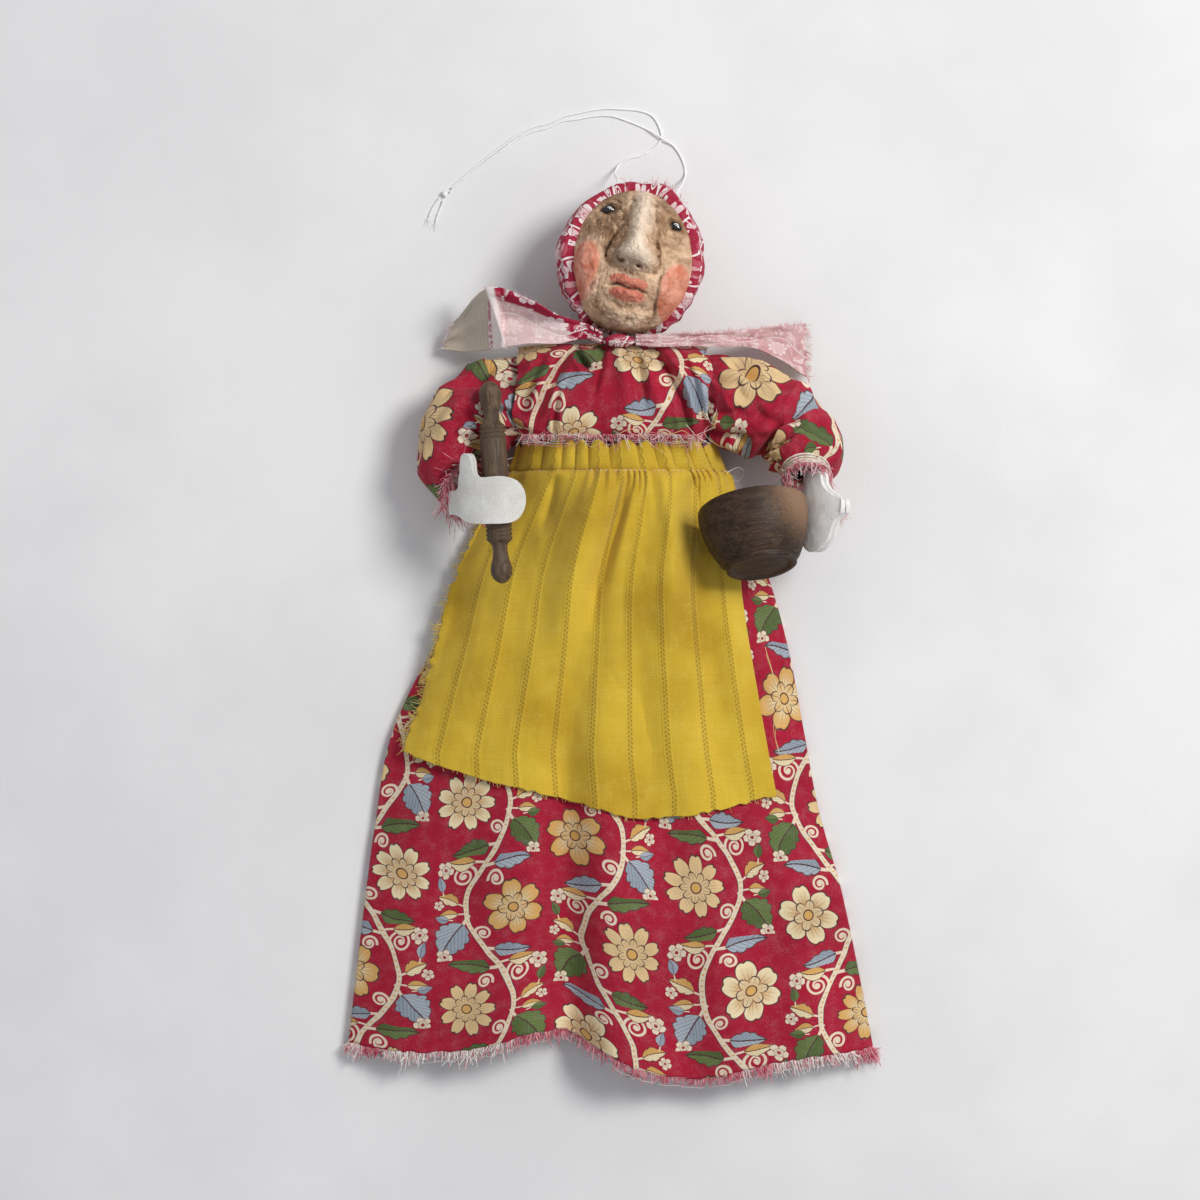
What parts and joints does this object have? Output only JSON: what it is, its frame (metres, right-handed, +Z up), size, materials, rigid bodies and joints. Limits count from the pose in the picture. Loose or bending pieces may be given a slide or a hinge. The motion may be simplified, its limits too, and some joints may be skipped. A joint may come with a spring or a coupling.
{
  "type": "apple head doll with rolling pin and bowl",
  "caption": "Handmade folk doll lying on its back: carved dried apple head in a kerchief, crimson floral dress, mustard apron, a wooden rolling pin and a wooden bowl in its hands",
  "frame": {"origin": "on the surface that the doll lies on, under the middle of its length and width", "axes": "X to the doll's left, Y towards its head, Z up from the surface, out of its face"},
  "size_m": [0.1498, 0.2765, 0.043],
  "materials": {
    "apple": "dried and wrinkled apple flesh with painted cheeks and lips",
    "bead": "polished black bead",
    "kerchief": "printed cotton",
    "dress": "printed cotton",
    "apron": "coarse woven cotton with drawn thread stripes",
    "thread": "twisted cotton",
    "hand": "thin off-white leather with fine cracks",
    "pin_wood": "weathered, worn",
    "bowl_wood": "dark stained, satin",
    "stuffing": "plain cotton roll",
    "wire": "dull"
  },
  "bodies": {
    "torso": {"bodice": "dress", "body_roll": "stuffing", "shoulder_wire": "wire", "neck_wire": "wire", "skirt": "dress", "apron": "apron", "gather_thread": "thread", "kerchief_knot": "kerchief", "kerchief_tail_right": "kerchief", "kerchief_tail_left": "kerchief", "thread_strand_a": "thread", "thread_strand_b": "thread", "thread_knot": "thread", "thread_end_a": "thread", "thread_end_b": "thread"},
    "head": {"apple_head": "apple", "right_eye": "bead", "left_eye": "bead", "kerchief_hood": "kerchief"},
    "right_upper_arm": {"right_upper_sleeve": "dress", "right_upper_arm_wire": "wire"},
    "right_forearm": {"right_lower_sleeve": "dress", "right_forearm_wire": "wire", "right_hand_palm": "hand", "right_hand_back": "hand", "rolling_pin": "pin_wood"},
    "left_upper_arm": {"left_upper_sleeve": "dress", "left_upper_arm_wire": "wire"},
    "left_forearm": {"left_lower_sleeve": "dress", "left_forearm_wire": "wire", "left_hand_palm": "hand", "left_hand_back": "hand", "bowl": "bowl_wood", "wrist_thread": "thread"}
  },
  "joints": [
    {"name": "head_turn", "type": "hinge", "parent": "torso", "child": "head", "pos_m": [0.0015, 0.0852, 0.0172], "axis": [0.2164, 0.9763, 0], "range_deg": [-30, 30]},
    {"name": "right_shoulder", "type": "hinge", "parent": "torso", "child": "right_upper_arm", "pos_m": [-0.0264, 0.068, 0.0116], "axis": [-1, 0, 0], "range_deg": [0, 40]},
    {"name": "right_elbow", "type": "hinge", "parent": "right_upper_arm", "child": "right_forearm", "pos_m": [-0.0407, 0.0585, 0.0125], "axis": [0, 0, -1], "range_deg": [-5, 30]},
    {"name": "left_shoulder", "type": "hinge", "parent": "torso", "child": "left_upper_arm", "pos_m": [0.0276, 0.068, 0.0116], "axis": [-1, 0, 0], "range_deg": [0, 40]},
    {"name": "left_elbow", "type": "hinge", "parent": "left_upper_arm", "child": "left_forearm", "pos_m": [0.05, 0.0578, 0.0122], "axis": [0, 0, 1], "range_deg": [0, 30]}
  ]
}
